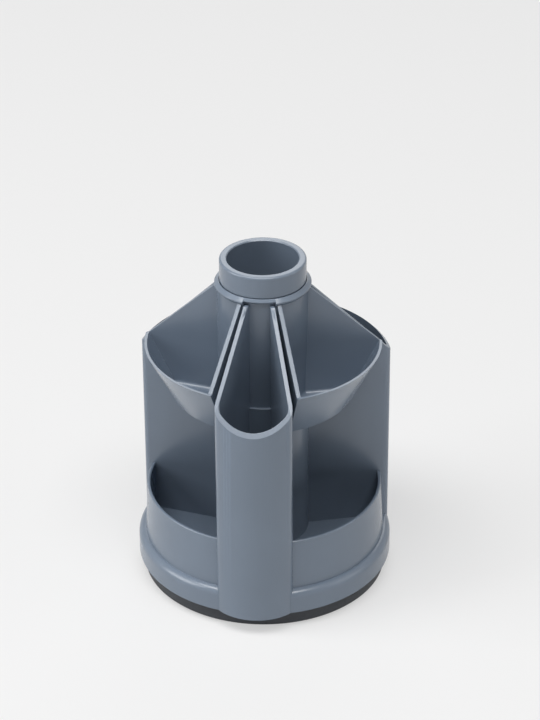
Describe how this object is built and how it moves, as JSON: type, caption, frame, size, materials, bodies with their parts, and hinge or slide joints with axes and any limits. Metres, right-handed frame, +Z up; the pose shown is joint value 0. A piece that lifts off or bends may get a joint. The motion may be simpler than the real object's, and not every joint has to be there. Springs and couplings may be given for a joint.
{
  "type": "rotating desk organizer",
  "caption": "Round desk organizer that turns on a low foot: a tall pen cup in the middle, hung tray cells, a scissor pocket, open bins in front and tall compartments behind.",
  "frame": {"origin": "on the turning axis, at the table that the organizer stands on", "axes": "+Z up along the turning axis, -Y towards the scissor pocket at the front, +X to the right seen from the front"},
  "size_m": [0.1086, 0.113, 0.1488],
  "materials": {
    "body_plastic": "satin blue-grey moulded plastic",
    "base_plastic": "dark grey moulded plastic",
    "rubber": "matt black rubber",
    "race_steel": "bright rolled steel",
    "ball_steel": "polished steel",
    "cage_plastic": "natural white plastic",
    "screw_steel": "zinc-plated steel"
  },
  "bodies": {
    "base": {"base_foot": "base_plastic", "rubber_pad_1": "rubber", "rubber_pad_2": "rubber", "rubber_pad_3": "rubber", "rubber_pad_4": "rubber", "rubber_plug": "rubber", "pivot_bush": "cage_plastic", "lower_race": "race_steel"},
    "cage": {"ball_cage": "cage_plastic", "bearing_balls": "ball_steel"},
    "organizer": {"turntable": "body_plastic", "rear_caddy": "body_plastic", "center_column": "body_plastic", "scissor_pocket": "body_plastic", "upper_race": "race_steel", "assembly_screws": "screw_steel", "pivot_screw": "screw_steel", "pivot_washer": "screw_steel"},
    "tray": {"upper_tray": "body_plastic"},
    "cup": {"pen_cup": "body_plastic"}
  },
  "joints": [
    {"name": "organizer_spin", "type": "hinge", "parent": "base", "child": "organizer", "pos_m": [0, 0, 0.0183], "axis": [0, 0, 1], "continuous": true},
    {"name": "cage_spin", "type": "hinge", "parent": "base", "child": "cage", "pos_m": [0, 0, 0.01315], "axis": [0, 0, 1], "continuous": true},
    {"name": "tray_lift", "type": "slide", "parent": "organizer", "child": "tray", "axis": [0, 0, 1], "range_m": [0, 0.065]},
    {"name": "cup_lift", "type": "slide", "parent": "organizer", "child": "cup", "axis": [0, 0, 1], "range_m": [0, 0.115]}
  ],
  "couplings": [
    {"joint": "cage_spin", "follows": "organizer_spin", "ratio": 0.5}
  ]
}
